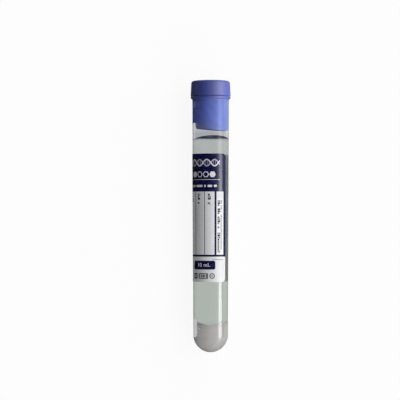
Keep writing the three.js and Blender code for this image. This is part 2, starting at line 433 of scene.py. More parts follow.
liquid_level = PLUG_TIP - HEADSPACE
crest = liquid_level + MENISCUS_RISE
border = GEL_LEVEL - LAYER_OVERLAP
liquid_profile = [(0, border), (bore(GEL_LEVEL) + WETTING, border)]
liquid_profile += [(bore(h) + WETTING, h) for h in LIQUID_RINGS]
for i in range(MENISCUS_STEPS + 1):
    inward = MENISCUS_WIDTH * i / MENISCUS_STEPS
    climb = MENISCUS_RISE * (1 - i / MENISCUS_STEPS) ** 2
    liquid_profile.append((bore(crest) + WETTING - inward, liquid_level + climb))
liquid_profile.append((0, liquid_level))
liquid = turn("anticoagulant_fill", liquid_profile, liquid_finish())
climbing = liquid.data.attributes.new("climbing", "FLOAT", "POINT")
for point in liquid.data.vertices:
    height, front = on_tube(point)
    climb = height - liquid_level
    climbing.data[point.index].value = min(1, max(0, climb / MENISCUS_FADE))
    if climb > 0:
        facing = (front * math.cos(MENISCUS_TURN) + point.co.x * math.sin(MENISCUS_TURN)) / bore(crest)
        wetted = max(MENISCUS_LEAST, facing if facing > 0 else -MENISCUS_BEHIND * facing)
        point.co -= pull_axis * climb * (1 - wetted)
settle(liquid)
leave_pocket(liquid)
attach(liquid, "tube")
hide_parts("anticoagulant")


# ------------------------------------------------------------------------------- the stopper
# One moulding of blue butyl rubber: a head to lift it by, with a needle dimple on top, and a hollow
# plug with three seal rings that is squeezed into the bore. Its tapered tip leaves the wall on one side.

HEAD_RADIUS = 0.009075
HEAD_SIDE_INSET = 0.00001
HEAD_TOP_INSET = 0.000325
HEAD_HEIGHT = 0.00795
HEAD_CORNER = 0.0011
HEAD_CHAMFER = 0.00045
# Each pair of tones runs from the shaded left to the lit right side: painted light.
HEAD_PAINTED_SHADE_TO_LIGHT = ((0.030, 0.046, 0.26, 1), (0.059, 0.090, 0.43, 1))
SEAT_HEIGHT = 0.1143
SEAT_CLEARANCE = 0.00002
PLUG_STRAIGHT = 0.0108
PLUG_SQUEEZE = 0.00005
PLUG_TIP_RADIUS = 0.00688
PLUG_TIP_ROUND = 0.0006
PLUG_TIP_SWAY = 0.00027
PLUG_TIP_TILT = 0.0005
# The plug is painted paler than the head, standing in for light lost through the tube: painted light.
PLUG_PAINTED_SHADE_TO_LIGHT = ((0.120, 0.172, 0.65, 1), (0.345, 0.445, 0.96, 1))
SEAL_RINGS = (0.0035, 0.0026, 0.0017)
GROOVE_WIDTH = 0.00015
GROOVE_DEPTH = 0.00012
DIMPLE_RADIUS = 0.0038
DIMPLE_DEPTH = 0.0015
DIMPLE_EDGE = 0.0003
DIMPLE_CORNER = 0.0005
HOLLOW_RADIUS = 0.0042
HOLLOW_DEPTH = 0.007
HOLLOW_CORNER = 0.0006
HOLLOW_CHAMFER = 0.0003
LIP_LINE = SEAT_HEIGHT + 0.0009
LIP_LINE_WIDTH = 0.0003
LIP_LINE_DEPTH = 0.0004
# How the rubber's colour is painted paler towards the lit right side (painted light), with a random mottle
# over it.
PAINTED_LIGHT_CURVE = 1.9
PAINTED_LIGHT_SHARE = 0.8
MOTTLE_SHARE = 0.2


def rubber_finish():
    """Matte butyl rubber, finely grained, with painted light: paler towards the lit right side, and paler
    on the plug.
    """
    material, tree, shader = new_finish("blue_rubber")
    mottle = uneven(tree, stretch=(420, 420, 420), detail=6.0)
    # Painted light: paler towards the lit right side, plus a random mottle.
    to_right = coordinate(tree, "X")
    painted_light_and_mottle = ramp(tree, to_right, -HEAD_RADIUS, HEAD_RADIUS, interpolation_type="SMOOTHSTEP")
    painted_light_and_mottle = calc(tree, "MULTIPLY", calc(tree, "POWER", painted_light_and_mottle, PAINTED_LIGHT_CURVE), PAINTED_LIGHT_SHARE)
    painted_light_and_mottle = calc(tree, "MULTIPLY_ADD", mottle, MOTTLE_SHARE, painted_light_and_mottle)
    head_tone = blended(tree, painted_light_and_mottle, *HEAD_PAINTED_SHADE_TO_LIGHT)
    plug_tone = blended(tree, painted_light_and_mottle, *PLUG_PAINTED_SHADE_TO_LIGHT)
    # The part in the bore takes the paler plug tones (painted light) and no coat.
    pressed = put(tree, "ShaderNodeAttribute", attribute_name="plug_in_bore").outputs["Fac"]
    tree.links.new(blended(tree, pressed, head_tone, plug_tone), shader.inputs["Base Color"])
    # Only the head has a glossy coat; the plug, oiled with silicone, has none.
    tree.links.new(calc(tree, "SUBTRACT", 1.0, pressed), shader.inputs["Coat Weight"])
    grain = uneven(tree, stretch=(5200, 5200, 5200), detail=3.0)
    roughen(tree, shader, grain, strength=0.35, distance=0.000024)
    set_plain(shader, {"Roughness": 0.5, "Specular IOR Level": 0.1})
    set_plain(shader, {"Coat Roughness": 0.5, "Coat IOR": 1.85})
    return material


head_top = SEAT_HEIGHT + HEAD_HEIGHT
head_side = HEAD_RADIUS - HEAD_SIDE_INSET
top_corner = HEAD_RADIUS - HEAD_TOP_INSET - HEAD_CORNER
straight_end = SEAT_HEIGHT - PLUG_STRAIGHT
tip_corner = PLUG_TIP_RADIUS - PLUG_TIP_ROUND
hollow_end = PLUG_TIP + HOLLOW_DEPTH
hollow_side = HOLLOW_RADIUS - HOLLOW_CORNER
dimple_floor = head_top - DIMPLE_DEPTH
dimple_side = DIMPLE_RADIUS - DIMPLE_CORNER
stopper_profile = [(0, hollow_end)]
stopper_profile += arc(hollow_side, hollow_end - HOLLOW_CORNER, HOLLOW_CORNER, 90, 0, steps=5)
stopper_profile += [(HOLLOW_RADIUS, PLUG_TIP + HOLLOW_CHAMFER), (HOLLOW_RADIUS + HOLLOW_CHAMFER, PLUG_TIP)]
stopper_profile += arc(tip_corner, PLUG_TIP + PLUG_TIP_ROUND, PLUG_TIP_ROUND, -90, 0, steps=7)
stopper_profile += [(bore(straight_end) + PLUG_SQUEEZE, straight_end)]
for depth in SEAL_RINGS:
    height = TUBE_LENGTH - depth
    swell = bore(height) + PLUG_SQUEEZE
    half = GROOVE_WIDTH / 2
    stopper_profile += [(swell, height - half), (swell - GROOVE_DEPTH, height - half / 3)]
    stopper_profile += [(swell - GROOVE_DEPTH, height + half / 3), (swell, height + half)]
stopper_profile += [(bore(TUBE_LENGTH) + PLUG_SQUEEZE, TUBE_LENGTH - RIM_ROUND)]
stopper_profile += [(bore(TUBE_LENGTH) + PLUG_SQUEEZE, TUBE_LENGTH + SEAT_CLEARANCE)]
stopper_profile += [(HEAD_RADIUS - HEAD_CHAMFER, TUBE_LENGTH + SEAT_CLEARANCE)]
stopper_profile += [(head_side, SEAT_HEIGHT + HEAD_CHAMFER), (head_side, LIP_LINE - LIP_LINE_WIDTH)]
stopper_profile += [(head_side - LIP_LINE_DEPTH, LIP_LINE)]
stopper_profile += [(head_side - GROOVE_DEPTH / 3, LIP_LINE + LIP_LINE_WIDTH)]
stopper_profile += arc(top_corner, head_top - HEAD_CORNER, HEAD_CORNER, 0, 90, steps=10)
stopper_profile += arc(DIMPLE_RADIUS + DIMPLE_EDGE, head_top - DIMPLE_EDGE, DIMPLE_EDGE, 90, 180, steps=4)
stopper_profile += arc(dimple_side, dimple_floor + DIMPLE_CORNER, DIMPLE_CORNER, 0, -90, steps=5)
stopper_profile += [(0, dimple_floor)]
stopper = turn("rubber_stopper", stopper_profile, rubber_finish())
# Marks the part in the bore, which is painted paler (painted light) and has no coat.
plug_in_bore = stopper.data.attributes.new("plug_in_bore", "FLOAT", "POINT")
for point in stopper.data.vertices:
    height, _ = on_tube(point)
    plug_in_bore.data[point.index].value = height < TUBE_LENGTH
    below = min(1, max(0, (straight_end - height) / (straight_end - PLUG_TIP)))
    point.co -= pull_axis * PLUG_TIP_TILT * below * point.co.x / PLUG_TIP_RADIUS
    point.co.x += PLUG_TIP_SWAY * below
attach(stopper, "stopper")
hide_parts("stopper")


# --------------------------------------------------------------------------------- the label
# One strip of printed self-adhesive film, wrapped round the tube so that a bare window is left
# between its two ends. Its corners are rounded.

LABEL_FOOT = 0.0318
LABEL_HEIGHT = 0.0575
LABEL_THICKNESS = 0.0001
LABEL_GAP = 0.00004
LABEL_CORNER = 0.0018
LABEL_CORNER_STEPS = 8
LABEL_COLUMNS = 170
LABEL_ROWS = 6
FILM_CREASE_ANGLE = math.radians(40)
FILM_WELD_DISTANCE = 1e-7
WINDOW_START = math.radians(54)
WINDOW_ANGLE = math.radians(60)
MILLIMETRES = 1000.0
INK_EDGE = 0.03


def wrapped_film_tree():
    """Thickens a flat sheet, width along X and height along Y, and wraps it round the tube's cone."""
    inputs = [("Sheet", "Geometry"), ("Thickness", "Float"), ("Gap", "Float"), ("Start Height", "Float")]
    inputs += [("Print Radius", "Float"), ("Foot Radius", "Float"), ("Mouth Radius", "Float")]
    inputs += [("Length", "Float"), ("Lean", "Float"), ("Foot", "Vector"), ("Material", "Material")]
    tree, given, result = new_tree("wrapped_film", "GeometryNodeTree", inputs, [("Film", "Geometry")])
    sheet = given.outputs["Sheet"]
    foot_radius = given.outputs["Foot Radius"]
    upward = put(tree, "ShaderNodeCombineXYZ", {"Z": given.outputs["Thickness"]}).outputs[0]
    inputs = {"Mesh": sheet, "Offset": upward, "Offset Scale": 1.0, "Individual": False}
    raised = put(tree, "GeometryNodeExtrudeMesh", inputs)
    inputs = {"Geometry": raised.outputs["Mesh"], "Name": "printed", "Value": raised.outputs["Top"]}
    marked = put(tree, "GeometryNodeStoreNamedAttribute", inputs, data_type="FLOAT", domain="FACE")
    back = put(tree, "GeometryNodeFlipFaces", {"Mesh": sheet}).outputs[0]
    both = put(tree, "GeometryNodeJoinGeometry")
    tree.links.new(marked.outputs[0], both.inputs[0])
    tree.links.new(back, both.inputs[0])
    inputs = {"Geometry": both.outputs[0], "Distance": FILM_WELD_DISTANCE}
    closed = put(tree, "GeometryNodeMergeByDistance", inputs).outputs[0]
    place = put(tree, "GeometryNodeInputPosition").outputs[0]
    inputs = {0: place, "Scale": MILLIMETRES}
    in_mm = put(tree, "ShaderNodeVectorMath", inputs, operation="SCALE").outputs[0]
    inputs = {"Geometry": closed, "Name": "print_mm", "Value": in_mm}
    mapped = put(tree, "GeometryNodeStoreNamedAttribute", inputs, data_type="FLOAT2", domain="CORNER")
    flat = put(tree, "ShaderNodeSeparateXYZ", {0: place})
    angle = calc(tree, "DIVIDE", flat.outputs["X"], given.outputs["Print Radius"])
    height = calc(tree, "ADD", flat.outputs["Y"], given.outputs["Start Height"])
    rise = calc(tree, "SUBTRACT", height, foot_radius)
    share = calc(tree, "DIVIDE", rise, calc(tree, "SUBTRACT", given.outputs["Length"], foot_radius))
    growth = calc(tree, "SUBTRACT", given.outputs["Mouth Radius"], foot_radius)
    wall = calc(tree, "MULTIPLY_ADD", share, growth, foot_radius)
    radius = calc(tree, "ADD", calc(tree, "ADD", wall, given.outputs["Gap"]), flat.outputs["Z"])
    across = calc(tree, "MULTIPLY", radius, calc(tree, "SINE", angle))
    up = calc(tree, "MULTIPLY", radius, calc(tree, "COSINE", angle))
    spot = put(tree, "ShaderNodeCombineXYZ", {"X": across, "Y": height, "Z": up}).outputs[0]
    inputs = {"Geometry": mapped.outputs[0], "Position": spot}
    bent = put(tree, "GeometryNodeSetPosition", inputs).outputs[0]
    smooth = smoothed(tree, bent, FILM_CREASE_ANGLE)
    tree.links.new(laid_down(tree, smooth, given), result.inputs[0])
    return tree


wrapped_film = wrapped_film_tree()
print_radius = outside(LABEL_FOOT + LABEL_HEIGHT / 2) + LABEL_GAP + LABEL_THICKNESS


def wrap(name, sheet, material, thickness, gap):
    """A flat sheet wrapped round the tube. X is the way round from the top, Y the height on the label."""
    values = {"Thickness": thickness, "Gap": gap, "Start Height": LABEL_FOOT, "Print Radius": print_radius}
    values |= {"Foot Radius": FOOT_RADIUS, "Mouth Radius": MOUTH_RADIUS, "Length": TUBE_LENGTH}
    values |= {"Lean": lean, "Foot": foot_place, "Material": material}
    return shaped(name, sheet, wrapped_film, values)


film_right = WINDOW_START * print_radius
film_left = film_right - (2 * math.pi - WINDOW_ANGLE) * print_radius


def label_sheet():
    """The flat film, in columns that follow its rounded corners."""
    rounding = [math.radians(90 * i / LABEL_CORNER_STEPS) for i in range(LABEL_CORNER_STEPS)]
    ends = [(LABEL_CORNER * (1 - math.cos(a)), LABEL_CORNER * (1 - math.sin(a))) for a in rounding]
    start = film_left + LABEL_CORNER
    span = film_right - film_left - 2 * LABEL_CORNER
    columns = [(film_left + inset, drop) for inset, drop in ends]
    columns += [(start + span * i / LABEL_COLUMNS, 0) for i in range(LABEL_COLUMNS + 1)]
    columns += [(film_right - inset, drop) for inset, drop in reversed(ends)]
    points = []
    for across, drop in columns:
        high = LABEL_HEIGHT - drop
        points += [(across, drop + (high - drop) * j / LABEL_ROWS, 0) for j in range(LABEL_ROWS + 1)]
    faces = []
    for i in range(len(columns) - 1):
        for j in range(LABEL_ROWS):
            first = i * (LABEL_ROWS + 1) + j
            faces.append((first, first + LABEL_ROWS + 1, first + LABEL_ROWS + 2, first + 1))
    sheet = bpy.data.meshes.new("label_sheet")
    sheet.from_pydata(points, [], faces)
    return sheet


def printed_box_group():
    """A mask that is 1 inside a rounded box on the film, in millimetres."""
    inputs = [("Place", "Vector"), ("Middle", "Vector"), ("Half Size", "Vector"), ("Corner", "Float")]
    tree, given, result = new_tree("printed_box", "ShaderNodeTree", inputs, [("Mask", "Float")])
    inputs = {0: given.outputs["Place"], 1: given.outputs["Middle"]}
    away = put(tree, "ShaderNodeVectorMath", inputs, operation="SUBTRACT").outputs[0]
    away = put(tree, "ShaderNodeVectorMath", {0: away}, operation="ABSOLUTE").outputs[0]
    inputs = {0: away, 1: given.outputs["Half Size"]}
    past = put(tree, "ShaderNodeVectorMath", inputs, operation="SUBTRACT").outputs[0]
    split = put(tree, "ShaderNodeSeparateXYZ", {0: past})
    past_x = calc(tree, "ADD", split.outputs["X"], given.outputs["Corner"])
    past_y = calc(tree, "ADD", split.outputs["Y"], given.outputs["Corner"])
    square_x = calc(tree, "POWER", calc(tree, "MAXIMUM", past_x, 0), 2)
    square_y = calc(tree, "POWER", calc(tree, "MAXIMUM", past_y, 0), 2)
    outer = calc(tree, "SQRT", calc(tree, "ADD", square_x, square_y))
    inner = calc(tree, "MINIMUM", calc(tree, "MAXIMUM", past_x, past_y), 0)
    distance = calc(tree, "SUBTRACT", calc(tree, "ADD", outer, inner), given.outputs["Corner"])
    tree.links.new(ramp(tree, distance, INK_EDGE, -INK_EDGE), result.inputs[0])
    return tree


def printed_hexagon_group():
    """A mask that is 1 inside a hexagon on the film, in millimetres."""
    inputs = [("Place", "Vector"), ("Middle", "Vector"), ("Size", "Float")]
    tree, given, result = new_tree("printed_hexagon", "ShaderNodeTree", inputs, [("Mask", "Float")])
    inputs = {0: given.outputs["Place"], 1: given.outputs["Middle"]}
    away = put(tree, "ShaderNodeVectorMath", inputs, operation="SUBTRACT").outputs[0]
    away = put(tree, "ShaderNodeVectorMath", {0: away}, operation="ABSOLUTE").outputs[0]
    split = put(tree, "ShaderNodeSeparateXYZ", {0: away})
    slanted = calc(tree, "MULTIPLY", split.outputs["X"], math.cos(math.radians(30)))
    slanted = calc(tree, "MULTIPLY_ADD", split.outputs["Y"], 0.5, slanted)
    reach = calc(tree, "MAXIMUM", slanted, split.outputs["Y"])
    distance = calc(tree, "SUBTRACT", reach, given.outputs["Size"])
    tree.links.new(ramp(tree, distance, INK_EDGE, -INK_EDGE), result.inputs[0])
    return tree


LETTER_PITCH = 0.72
LETTER_HALF_WIDTH = 0.42
LOW_LETTER = 0.68
TALL_LETTER_MORE = 0.32
TALL_LETTER_ABOVE = 0.6
WORD_GAP_BELOW = 0.17
EYE_HALF_WIDTH = 0.15
EYE_INSET = 0.24
EYE_ABOVE = 0.35
GAP_LOT = 0.5
TALL_LOT = 71.5
EYE_LOT = 133.5


def small_print_group():
    """A mask for a line of print too small to read: marks of letter size with gaps between words."""
    inputs = [("Along", "Float"), ("Across", "Float"), ("Length", "Float"), ("Height", "Float")]
    inputs += [("Seed", "Float")]
    tree, given, result = new_tree("small_print", "ShaderNodeTree", inputs, [("Mask", "Float")])
    pitch = calc(tree, "MULTIPLY", given.outputs["Height"], LETTER_PITCH)
    steps = calc(tree, "DIVIDE", given.outputs["Along"], pitch)
    cell = calc(tree, "ADD", calc(tree, "FLOOR", steps), given.outputs["Seed"])
    off = calc(tree, "ABSOLUTE", calc(tree, "SUBTRACT", calc(tree, "FRACT", steps), 0.5))
    tall = calc(tree, "DIVIDE", given.outputs["Across"], given.outputs["Height"])

    def drawn_lot(shift):
        number = calc(tree, "ADD", cell, shift)
        return put(tree, "ShaderNodeTexWhiteNoise", {"W": number}, noise_dimensions="1D").outputs["Value"]

    letter = calc(tree, "GREATER_THAN", drawn_lot(GAP_LOT), WORD_GAP_BELOW)
    tall_one = calc(tree, "GREATER_THAN", drawn_lot(TALL_LOT), TALL_LETTER_ABOVE)
    top = calc(tree, "MULTIPLY_ADD", tall_one, TALL_LETTER_MORE, LOW_LETTER)
    body = calc(tree, "LESS_THAN", off, LETTER_HALF_WIDTH)
    body = calc(tree, "MULTIPLY", body, calc(tree, "GREATER_THAN", tall, 0))
    body = calc(tree, "MULTIPLY", body, calc(tree, "LESS_THAN", tall, top))
    eye = calc(tree, "LESS_THAN", off, EYE_HALF_WIDTH)
    eye = calc(tree, "MULTIPLY", eye, calc(tree, "GREATER_THAN", tall, EYE_INSET))
    eye_top = calc(tree, "SUBTRACT", top, EYE_INSET)
    eye = calc(tree, "MULTIPLY", eye, calc(tree, "LESS_THAN", tall, eye_top))
    eye = calc(tree, "MULTIPLY", eye, calc(tree, "GREATER_THAN", drawn_lot(EYE_LOT), EYE_ABOVE))
    mask = calc(tree, "MULTIPLY", calc(tree, "SUBTRACT", body, eye), letter)
    mask = calc(tree, "MULTIPLY", mask, calc(tree, "GREATER_THAN", given.outputs["Along"], 0))
    within = calc(tree, "LESS_THAN", given.outputs["Along"], given.outputs["Length"])
    tree.links.new(calc(tree, "MULTIPLY", mask, within), result.inputs[0])
    return tree


printed_box = printed_box_group()
printed_hexagon = printed_hexagon_group()
small_print = small_print_group()
NAVY = (0.004, 0.005, 0.058, 1)
WHITE = (0.745, 0.755, 0.775, 1)
FILM_SHADE = (0.72, 0.73, 0.75, 1)
# The film's back is white, painted paler than its front to stand in for light from behind: partly painted
# light.
BACKING_PAINTED_PALER = (0.92, 0.92, 0.92, 1)
LILAC = (0.42, 0.41, 0.55, 1)
GREY_INK = (0.022, 0.022, 0.03, 1)
PALE_INK = (0.25, 0.25, 0.27, 1)


class Print:
    """The inks on the film, laid over one another. Places are in millimetres on the label."""

    def __init__(self, tree, place, paper):
        self.tree = tree
        self.place = place
        self.colour = paper

    def ink(self, mask, colour):
        """Lays a colour over what is printed so far, where the mask is 1."""
        self.colour = blended(self.tree, mask, self.colour, colour)

    def box(self, left, right, low, high, corner=0.0):
        inputs = {"Place": self.place, "Middle": ((left + right) / 2, (low + high) / 2, 0)}
        inputs |= {"Half Size": ((right - left) / 2, (high - low) / 2, 1000), "Corner": corner}
        return feed(self.tree, printed_box, inputs)

    def frame(self, left, right, low, high, corner, line):
        outer = self.box(left, right, low, high, corner)
        inner = self.box(left + line, right - line, low + line, high - line, max(0, corner - line))
        return calc(self.tree, "SUBTRACT", outer, inner)

    def hexagon(self, across, height, size):
        inputs = {"Place": self.place, "Middle": (across, height, 0), "Size": size}
        return feed(self.tree, printed_hexagon, inputs)

    def words(self, along, across, length, height, seed):
        inputs = {"Along": along, "Across": across, "Length": length, "Height": height, "Seed": seed}
        return feed(self.tree, small_print, inputs)


# The print's places and sizes are in millimetres: across from the top of the tube, and up the label.
HEADER = (-50, 20, 40.5, 60)
BAND = (-50, 20, 11.35, 12.25)
RULE = (1.70, 2.62, 12, 41)
END_FIELD = (6.29, 20, 12, 41)
COLUMNS_PANEL = (-50, 1.4, 12.25, 40.5)
COLUMN_WIDTH = 5.03
FIRST_LINE = -2.8
LINE_HALF_WIDTH = 0.15
CAPTION_TOP = 39.6
CAPTION_INSET = 1.5
CAPTION_HEIGHT = 1.3
CAPTION_LENGTH = 4.9
CAPTION_SWING = 0.5
CAPTION_PACE = 2.4
CAPTION_SEED_STEP = 29.0
SIDE_PRINT_TOP = 36.6
SIDE_PRINT = ((3.15, 23.5, 1.25, 5.0, GREY_INK), (4.7, 22.0, 0.75, 9.0, PALE_INK))
PLATE = (-9.22, 2.10, 5.62, 9.55)
PLATE_CORNER = 0.85
NOTE_LEFT = 0.7
NOTE_FOOT = 9.85
NOTE_LENGTH = 5.4
NOTE_HEIGHT = 0.55
NOTE_SEED = 40.0
# A sign is its left, right, foot and top, the radius of its corners, and the width of its line.
SIGNS_LOW = 1.5
SIGNS_HIGH = 3.95
DOT_SIGN = (-9.2, -6.75, SIGNS_LOW, SIGNS_HIGH, 0.15, 0.6)
DOT = (-8.3, -7.65, 2.4, 3.05)
BARRED_SIGN = (-6.0, -1.3, SIGNS_LOW, SIGNS_HIGH, 0.3, 0.4)
SIGN_BARS = 5
SIGN_BARS_LEFT = -5.5
SIGN_BARS_INSET = 0.6
SIGN_BAR_PITCH = 0.8
SIGN_BAR_WIDTH = 0.36
SIGN_BAR_WIDER = 0.13
ROUND_SIGN = (-0.6, 1.85, SIGNS_LOW, SIGNS_HIGH, 1.22, 0.4)
DASH = (0.05, 1.2, 2.55, 2.9)
HEADER_LEFT = -12.6
HEADER_RIGHT = 4.2
HELIX_PITCH = 7.0
HELIX_SWING = 1.45
HELIX_MIDDLE = 53.4
HELIX_REACH = 2.5
STRAND_HALF_WIDTH = 0.24
RUNG_PITCH = 0.875
RUNG_HALF_WIDTH = 0.09
HEXAGONS_FILLED = (False, True, False, False, True)
FIRST_HEXAGON = -11.2
HEXAGON_PITCH = 3.0
HEXAGON_MIDDLE = 48.2
HEXAGON_SIZE = 1.25
HEXAGON_HOLE = 0.9
HEADER_RULE = (45.75, 45.95)
BARS = (42.5, 43.5)
BAR_LENGTHS = (2.6, 1.2, 3.4, 0.8, 2.0, 1.4)
BAR_CORNER = 0.3
BAR_GAP = 0.8


def print_columns(whole, around, height):
    """Thin lines between columns, each with a short caption that runs down from the top."""
    tree = whole.tree
    panel = whole.box(*COLUMNS_PANEL)
    stepped = calc(tree, "SUBTRACT", around, FIRST_LINE - COLUMN_WIDTH / 2)
    within = calc(tree, "SUBTRACT", calc(tree, "FLOORED_MODULO", stepped, COLUMN_WIDTH), COLUMN_WIDTH / 2)
    line = calc(tree, "LESS_THAN", calc(tree, "ABSOLUTE", within), LINE_HALF_WIDTH)
    whole.ink(calc(tree, "MULTIPLY", line, panel), GREY_INK)
    past_line = calc(tree, "SUBTRACT", around, FIRST_LINE)
    number = calc(tree, "FLOOR", calc(tree, "DIVIDE", past_line, COLUMN_WIDTH))
    across = calc(tree, "SUBTRACT", calc(tree, "FLOORED_MODULO", past_line, COLUMN_WIDTH), CAPTION_INSET)
    along = calc(tree, "SUBTRACT", CAPTION_TOP, height)
    wander = calc(tree, "SINE", calc(tree, "MULTIPLY", number, CAPTION_PACE))
    long = calc(tree, "MULTIPLY_ADD", wander, CAPTION_SWING, CAPTION_LENGTH)
    seed = calc(tree, "MULTIPLY", number, CAPTION_SEED_STEP)
    caption = whole.words(along, across, long, CAPTION_HEIGHT, seed)
    whole.ink(calc(tree, "MULTIPLY", caption, panel), GREY_INK)


def print_signs(both, turned, height):
    """The dark plate under the volume, a line of small print over it, and three plain boxed signs."""
    tree = both.tree
    both.ink(both.box(*PLATE, PLATE_CORNER), NAVY)
    along = calc(tree, "SUBTRACT", turned, NOTE_LEFT)
    across = calc(tree, "SUBTRACT", height, NOTE_FOOT)
    both.ink(both.words(along, across, NOTE_LENGTH, NOTE_HEIGHT, NOTE_SEED), PALE_INK)
    both.ink(both.frame(*DOT_SIGN), GREY_INK)
    both.ink(both.box(*DOT), GREY_INK)
    both.ink(both.frame(*BARRED_SIGN), GREY_INK)
    for i in range(SIGN_BARS):
        left = SIGN_BARS_LEFT + SIGN_BAR_PITCH * i
        right = left + SIGN_BAR_WIDTH + SIGN_BAR_WIDER * (i % 3)
        bar = both.box(left, right, SIGNS_LOW + SIGN_BARS_INSET, SIGNS_HIGH - SIGN_BARS_INSET)
        both.ink(bar, GREY_INK)
    both.ink(both.frame(*ROUND_SIGN), GREY_INK)
    both.ink(both.box(*DASH), GREY_INK)


def print_helix(both, turned, height):
    """A double helix with its rungs, along the top of the header."""
    tree = both.tree
    band = both.box(HEADER_LEFT, HEADER_RIGHT, HELIX_MIDDLE - HELIX_REACH, HELIX_MIDDLE + HELIX_REACH)
    phase = calc(tree, "MULTIPLY", turned, 2 * math.pi / HELIX_PITCH)
    wave = calc(tree, "MULTIPLY", calc(tree, "SINE", phase), HELIX_SWING)
    steep = calc(tree, "MULTIPLY", calc(tree, "COSINE", phase), HELIX_SWING * 2 * math.pi / HELIX_PITCH)
    stretch = calc(tree, "SQRT", calc(tree, "MULTIPLY_ADD", steep, steep, 1.0))
    off = calc(tree, "SUBTRACT", height, HELIX_MIDDLE)
    from_rung = calc(tree, "SUBTRACT", calc(tree, "FLOORED_MODULO", turned, RUNG_PITCH), RUNG_PITCH / 2)
    rung = calc(tree, "LESS_THAN", calc(tree, "ABSOLUTE", from_rung), RUNG_HALF_WIDTH)
    between = calc(tree, "LESS_THAN", calc(tree, "ABSOLUTE", off), calc(tree, "ABSOLUTE", wave))
    rung = calc(tree, "MULTIPLY", rung, between)
    both.ink(calc(tree, "MULTIPLY", rung, band), LILAC)
    for side, colour in ((1, LILAC), (-1, WHITE)):
        gap = calc(tree, "ABSOLUTE", calc(tree, "SUBTRACT", off, calc(tree, "MULTIPLY", wave, side)))
        strand = calc(tree, "LESS_THAN", calc(tree, "DIVIDE", gap, stretch), STRAND_HALF_WIDTH)
        both.ink(calc(tree, "MULTIPLY", strand, band), colour)


def print_marks(both):
    """A row of hexagons in the header, a thin rule under it, and a row of short bars."""
    for i, filled in enumerate(HEXAGONS_FILLED):
        across = FIRST_HEXAGON + HEXAGON_PITCH * i
        shape = both.hexagon(across, HEXAGON_MIDDLE, HEXAGON_SIZE)
        if not filled:
            hole = both.hexagon(across, HEXAGON_MIDDLE, HEXAGON_HOLE)
            shape = calc(both.tree, "SUBTRACT", shape, hole)
        both.ink(shape, WHITE)
    both.ink(both.box(HEADER_LEFT, HEADER_RIGHT, *HEADER_RULE), WHITE)
    left = HEADER_LEFT
    for length in BAR_LENGTHS:
        both.ink(both.box(left, left + length, *BARS, BAR_CORNER), WHITE)
        left += length + BAR_GAP


def label_finish():
    """White film with its print. Some of the print shows once, some again on the far half of the film."""
    material, tree, shader = new_finish("label_film")
    place = put(tree, "ShaderNodeUVMap", uv_map="print_mm").outputs[0]
    split = put(tree, "ShaderNodeSeparateXYZ", {0: place})
    around = split.outputs["X"]
    height = split.outputs["Y"]
    film_end = film_right * MILLIMETRES
    half_way = (film_right - film_left) / 2 * MILLIMETRES
    turned = calc(tree, "WRAP", around, film_end, film_end - half_way)
    twice = put(tree, "ShaderNodeCombineXYZ", {"X": turned, "Y": height}).outputs[0]

    paper = blended(tree, uneven(tree, stretch=(700, 700, 700), detail=4.0), FILM_SHADE, WHITE)
    whole = Print(tree, place, paper)
    for field in (HEADER, BAND, RULE, END_FIELD):
        whole.ink(whole.box(*field), NAVY)
    print_columns(whole, around, height)
    down = calc(tree, "SUBTRACT", SIDE_PRINT_TOP, height)
    for start, length, letter_height, seed, colour in SIDE_PRINT:
        across = calc(tree, "SUBTRACT", around, start)
        whole.ink(whole.words(down, across, length, letter_height, seed), colour)
    both = Print(tree, twice, whole.colour)
    print_signs(both, turned, height)
    print_helix(both, turned, height)
    print_marks(both)

    side = put(tree, "ShaderNodeAttribute", attribute_name="printed").outputs["Fac"]
    # The unprinted back takes the paler backing tone, partly painted light.
    tree.links.new(blended(tree, side, BACKING_PAINTED_PALER, both.colour), shader.inputs["Base Color"])
    gloss = uneven(tree, stretch=(500, 1500, 500), lowest=0.24, highest=0.32)
    tree.links.new(gloss, shader.inputs["Roughness"])
    varnish = calc(tree, "MULTIPLY", whole.box(*HEADER), 0.45)
    tree.links.new(varnish, shader.inputs["Coat Weight"])
    roughen(tree, shader, uneven(tree, stretch=(260, 180, 260)), strength=0.12, distance=0.00004)
    set_plain(shader, {"Specular IOR Level": 0.22, "Coat Roughness": 0.2, "Coat IOR": 1.6})
    set_plain(shader, {"Subsurface Weight": 1.0, "Subsurface Radius": (1.0, 1.0, 1.0)})
    set_plain(shader, {"Subsurface Scale": 0.0003})
    return material


label = wrap("printed_label", label_sheet(), label_finish(), LABEL_THICKNESS, LABEL_GAP)
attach(label, "tube")
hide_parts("label")

# The figures of the volume are a thin layer of white ink that stands on the dark plate.
VOLUME_HEIGHT = 0.0024
VOLUME_SPACING = 1.06
VOLUME_ACROSS = -0.0035
VOLUME_UP = 0.0076
INK_THICKNESS = 0.000012
INK_TONES = ((0.74, 0.74, 0.77, 1), (0.82, 0.82, 0.84, 1))
volume_text = bpy.data.curves.new("volume_figures", "FONT")
volume_text.body = "10 mL"
volume_text.size = VOLUME_HEIGHT
volume_text.align_x = "CENTER"
volume_text.align_y = "CENTER"
volume_text.space_character = VOLUME_SPACING
text_object = bpy.data.objects.new("volume_figures_flat", volume_text)
bpy.context.scene.collection.objects.link(text_object)
evaluated_text = text_object.evaluated_get(bpy.context.evaluated_depsgraph_get())
flat_text = bpy.data.meshes.new_from_object(evaluated_text)
bpy.data.objects.remove(text_object)
for point in flat_text.vertices:
    point.co.x += VOLUME_ACROSS
    point.co.y += VOLUME_UP
ink_white, ink_tree, ink_shader = new_finish("white_ink")
ink_colour = blended(ink_tree, uneven(ink_tree, stretch=(2500, 2500, 2500)), *INK_TONES)
ink_tree.links.new(ink_colour, ink_shader.inputs["Base Color"])
ink_gloss = uneven(ink_tree, stretch=(900, 900, 900), lowest=0.35, highest=0.5)
